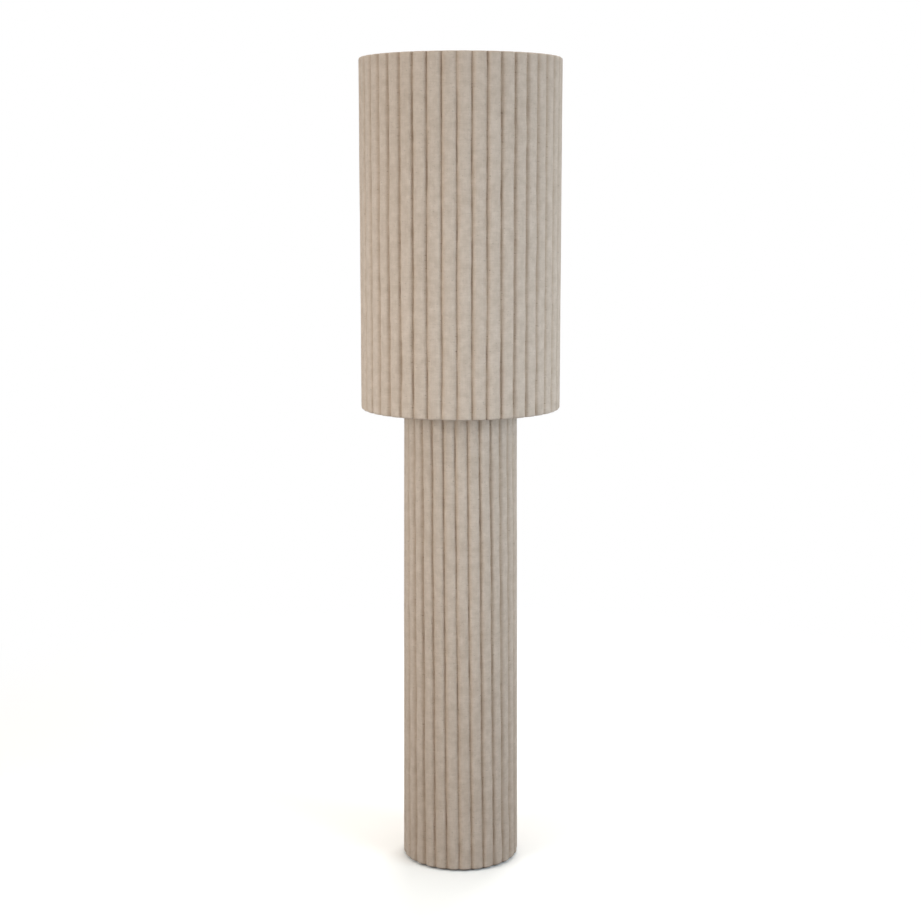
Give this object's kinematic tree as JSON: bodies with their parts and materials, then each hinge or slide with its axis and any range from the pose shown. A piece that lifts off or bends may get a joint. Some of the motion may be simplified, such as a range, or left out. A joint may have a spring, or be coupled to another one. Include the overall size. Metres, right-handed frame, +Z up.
{
  "type": "floor lamp",
  "caption": "Round column floor lamp with a tall drum shade, both in a ribbed padded linen cover; weighted foot, screw-cap lampholder with rotary switch, cord inlet at the back.",
  "frame": {"origin": "on the floor, under the middle of the column", "axes": "+Z up along the column, -Y the front, +Y the back with the cord inlet, +X the side with the switch"},
  "size_m": [0.3186, 0.3188, 1.3],
  "materials": {
    "linen": "matte",
    "linen_tape": "matte",
    "felt": "matte",
    "liner_sheet": "satin",
    "core_sheet": "matte",
    "disc_board": "matte",
    "cast_weight": "matte",
    "zinc_steel": "satin",
    "foot_rubber": "matte",
    "cap_paint": "satin",
    "frame_paint": "satin",
    "black_plastic": "satin",
    "white_plastic": "satin",
    "natural_plastic": "satin",
    "brass": "satin",
    "porcelain": "gloss",
    "lead_sheath": "satin",
    "core_sheath": "satin",
    "opal": "satin",
    "bulb_metal": "satin",
    "bulb_black": "gloss"
  },
  "bodies": {
    "column": {"column_cover": "linen", "column_core": "core_sheet", "base_felt": "felt", "base_disc": "disc_board", "counterweight": "cast_weight", "weight_screws": "zinc_steel", "rubber_feet": "foot_rubber", "foot_screws": "zinc_steel", "base_disc_screws": "zinc_steel", "top_disc": "disc_board", "top_disc_screws": "zinc_steel", "top_cap": "cap_paint", "cord_gland": "white_plastic", "gland_nut": "white_plastic", "terminal_block": "natural_plastic", "terminal_screws": "brass", "block_screws": "zinc_steel", "block_cores": "core_sheath", "inner_lead": "lead_sheath", "holder_cores": "core_sheath", "nipple": "zinc_steel", "nipple_nut": "zinc_steel", "nipple_washer": "zinc_steel", "neck_tube": "brass", "holder_cap": "black_plastic", "grub_screw": "zinc_steel", "switch_block": "white_plastic", "holder_insert": "porcelain", "holder_screws": "brass", "centre_contact": "brass", "screw_shell": "bulb_metal", "holder_skirt": "black_plastic"},
    "shade": {"shade_cover": "linen", "shade_liner": "liner_sheet", "shade_top_ring": "frame_paint", "shade_bottom_ring": "frame_paint", "top_hem": "linen_tape", "bottom_hem": "linen_tape", "spider_arms": "frame_paint", "spider_ring": "frame_paint"},
    "clamp_ring": {"shade_clamp_ring": "black_plastic"},
    "bulb": {"bulb_globe": "opal", "bulb_housing": "white_plastic", "led_board": "bulb_metal", "bulb_cap": "bulb_metal", "bulb_insulator": "bulb_black", "bulb_contact": "bulb_metal"},
    "switch": {"switch_knob": "black_plastic", "switch_spindle": "brass"}
  },
  "joints": [
    {"name": "shade_turn", "type": "hinge", "parent": "column", "child": "shade", "pos_m": [0, 0, 0.8208], "axis": [0, 0, 1], "continuous": true},
    {"name": "clamp_ring_turn", "type": "hinge", "parent": "column", "child": "clamp_ring", "pos_m": [0, 0, 0.8262], "axis": [0, 0, 1], "range_deg": [0, 720]},
    {"name": "bulb_turn", "type": "hinge", "parent": "column", "child": "bulb", "pos_m": [0, 0, 0.8395], "axis": [0, 0, 1], "range_deg": [0, 1620]},
    {"name": "switch_turn", "type": "hinge", "parent": "column", "child": "switch", "pos_m": [0.0345, 0, 0.8024], "axis": [1, 0, 0], "continuous": true}
  ]
}
